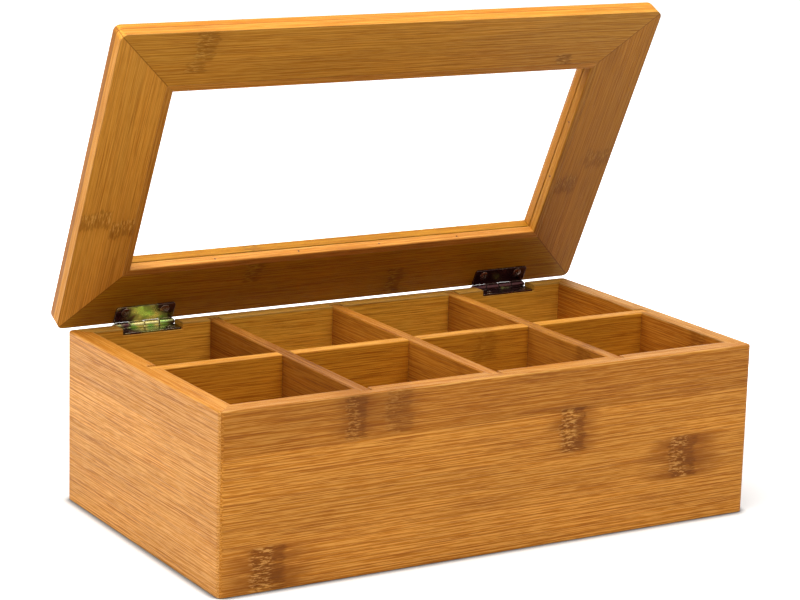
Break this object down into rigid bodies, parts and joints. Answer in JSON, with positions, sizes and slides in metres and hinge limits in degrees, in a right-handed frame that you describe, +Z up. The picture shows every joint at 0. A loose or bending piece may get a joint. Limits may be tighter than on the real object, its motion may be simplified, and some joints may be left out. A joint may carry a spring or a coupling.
{
  "type": "tea bag organizer box",
  "caption": "Bamboo storage box with divided compartments for wrapped tea bags and a glazed lid that turns on two butt hinges at its rear edge",
  "frame": {"origin": "centre of the underside of the box", "axes": "+X along the length, +Y to the side with the hinges, +Z up"},
  "size_m": [0.33, 0.1934, 0.2655],
  "materials": {
    "wall_bamboo": "solid carbonised bamboo strips under a satin clear lacquer",
    "divider_bamboo": "solid carbonised bamboo strips under a satin clear lacquer",
    "bottom_bamboo": "laminated bamboo sheet, satin",
    "lid_bamboo": "solid carbonised bamboo strips under a satin clear lacquer",
    "bead_bamboo": "slim bamboo strip, satin",
    "window_pane": "clear and smooth",
    "brads": "plain steel",
    "hinge_metal": "antiqued brass, dark and patchy with brighter edges",
    "hinge_screws": "antiqued brass to match the hinges"
  },
  "bodies": {
    "box": {"front_wall": "wall_bamboo", "rear_wall": "wall_bamboo", "left_wall": "wall_bamboo", "right_wall": "wall_bamboo", "bottom_panel": "bottom_bamboo", "long_divider": "divider_bamboo", "cross_divider_left": "divider_bamboo", "cross_divider_middle": "divider_bamboo", "cross_divider_right": "divider_bamboo", "left_hinge_box_leaf": "hinge_metal", "left_hinge_pin": "hinge_metal", "left_hinge_box_screws": "hinge_screws", "right_hinge_box_leaf": "hinge_metal", "right_hinge_pin": "hinge_metal", "right_hinge_box_screws": "hinge_screws"},
    "lid": {"lid_front_rail": "lid_bamboo", "lid_rear_rail": "lid_bamboo", "lid_left_rail": "lid_bamboo", "lid_right_rail": "lid_bamboo", "window_pane": "window_pane", "bead_front": "bead_bamboo", "bead_rear": "bead_bamboo", "bead_left": "bead_bamboo", "bead_right": "bead_bamboo", "bead_brads": "brads", "left_hinge_lid_leaf": "hinge_metal", "left_hinge_lid_screws": "hinge_screws", "right_hinge_lid_leaf": "hinge_metal", "right_hinge_lid_screws": "hinge_screws"}
  },
  "joints": [
    {"name": "lid_hinge", "type": "hinge", "parent": "box", "child": "lid", "pos_m": [0, 0.092, 0.0923], "axis": [1, 0, 0], "range_deg": [-116, 64]}
  ]
}
